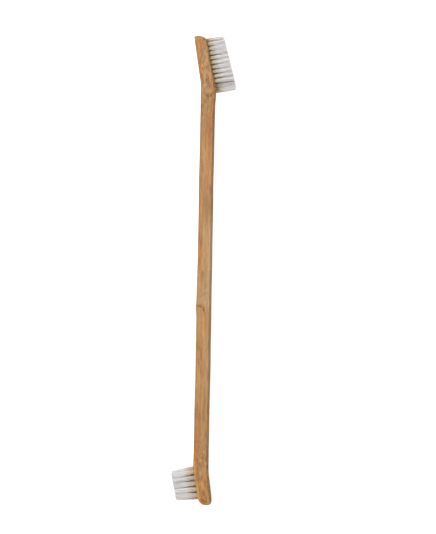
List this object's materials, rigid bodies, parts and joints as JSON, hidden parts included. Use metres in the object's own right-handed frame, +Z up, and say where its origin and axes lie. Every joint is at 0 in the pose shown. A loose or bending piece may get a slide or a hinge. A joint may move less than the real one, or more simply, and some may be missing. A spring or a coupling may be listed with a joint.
{
  "type": "double-ended pet toothbrush",
  "caption": "Slim bamboo pet toothbrush with a large oval brush head at one end and a small head facing the other way at the other end, lying on its side.",
  "frame": {"origin": "on the surface the brush lies on, under the middle of its bounding box", "axes": "+Y along the handle towards the large head, +X the way the large head's tufts point, +Z up across the width of the heads"},
  "size_m": [0.0274, 0.2202, 0.0114],
  "materials": {
    "bamboo": "sanded and waxed bamboo",
    "bristle": "white nylon filaments",
    "anchor": "bare stamped wire"
  },
  "bodies": {
    "root": {"handle": "bamboo", "large_tuft_column1_row01": "bristle", "large_tuft_column1_row02": "bristle", "large_tuft_column1_row03": "bristle", "large_tuft_column1_row04": "bristle", "large_tuft_column1_row05": "bristle", "large_tuft_column1_row06": "bristle", "large_tuft_column1_row07": "bristle", "large_tuft_column1_row08": "bristle", "large_tuft_column1_row09": "bristle", "large_tuft_column2_row01": "bristle", "large_tuft_column2_row02": "bristle", "large_tuft_column2_row03": "bristle", "large_tuft_column2_row04": "bristle", "large_tuft_column2_row05": "bristle", "large_tuft_column2_row06": "bristle", "large_tuft_column2_row07": "bristle", "large_tuft_column2_row08": "bristle", "large_tuft_column2_row09": "bristle", "large_tuft_column2_row10": "bristle", "large_tuft_column2_row11": "bristle", "large_tuft_column2_row12": "bristle", "large_tuft_column3_row01": "bristle", "large_tuft_column3_row02": "bristle", "large_tuft_column3_row03": "bristle", "large_tuft_column3_row04": "bristle", "large_tuft_column3_row05": "bristle", "large_tuft_column3_row06": "bristle", "large_tuft_column3_row07": "bristle", "large_tuft_column3_row08": "bristle", "large_tuft_column3_row09": "bristle", "large_tuft_column3_row10": "bristle", "large_tuft_column3_row11": "bristle", "large_tuft_column3_row12": "bristle", "large_tuft_column4_row01": "bristle", "large_tuft_column4_row02": "bristle", "large_tuft_column4_row03": "bristle", "large_tuft_column4_row04": "bristle", "large_tuft_column4_row05": "bristle", "large_tuft_column4_row06": "bristle", "large_tuft_column4_row07": "bristle", "large_tuft_column4_row08": "bristle", "large_tuft_column4_row09": "bristle", "small_tuft_column1_row01": "bristle", "small_tuft_column1_row02": "bristle", "small_tuft_column1_row03": "bristle", "small_tuft_column1_row04": "bristle", "small_tuft_column1_row05": "bristle", "small_tuft_column2_row01": "bristle", "small_tuft_column2_row02": "bristle", "small_tuft_column2_row03": "bristle", "small_tuft_column2_row04": "bristle", "small_tuft_column2_row05": "bristle", "small_tuft_column2_row06": "bristle", "small_tuft_column3_row01": "bristle", "small_tuft_column3_row02": "bristle", "small_tuft_column3_row03": "bristle", "small_tuft_column3_row04": "bristle", "small_tuft_column3_row05": "bristle"}
  },
  "joints": []
}
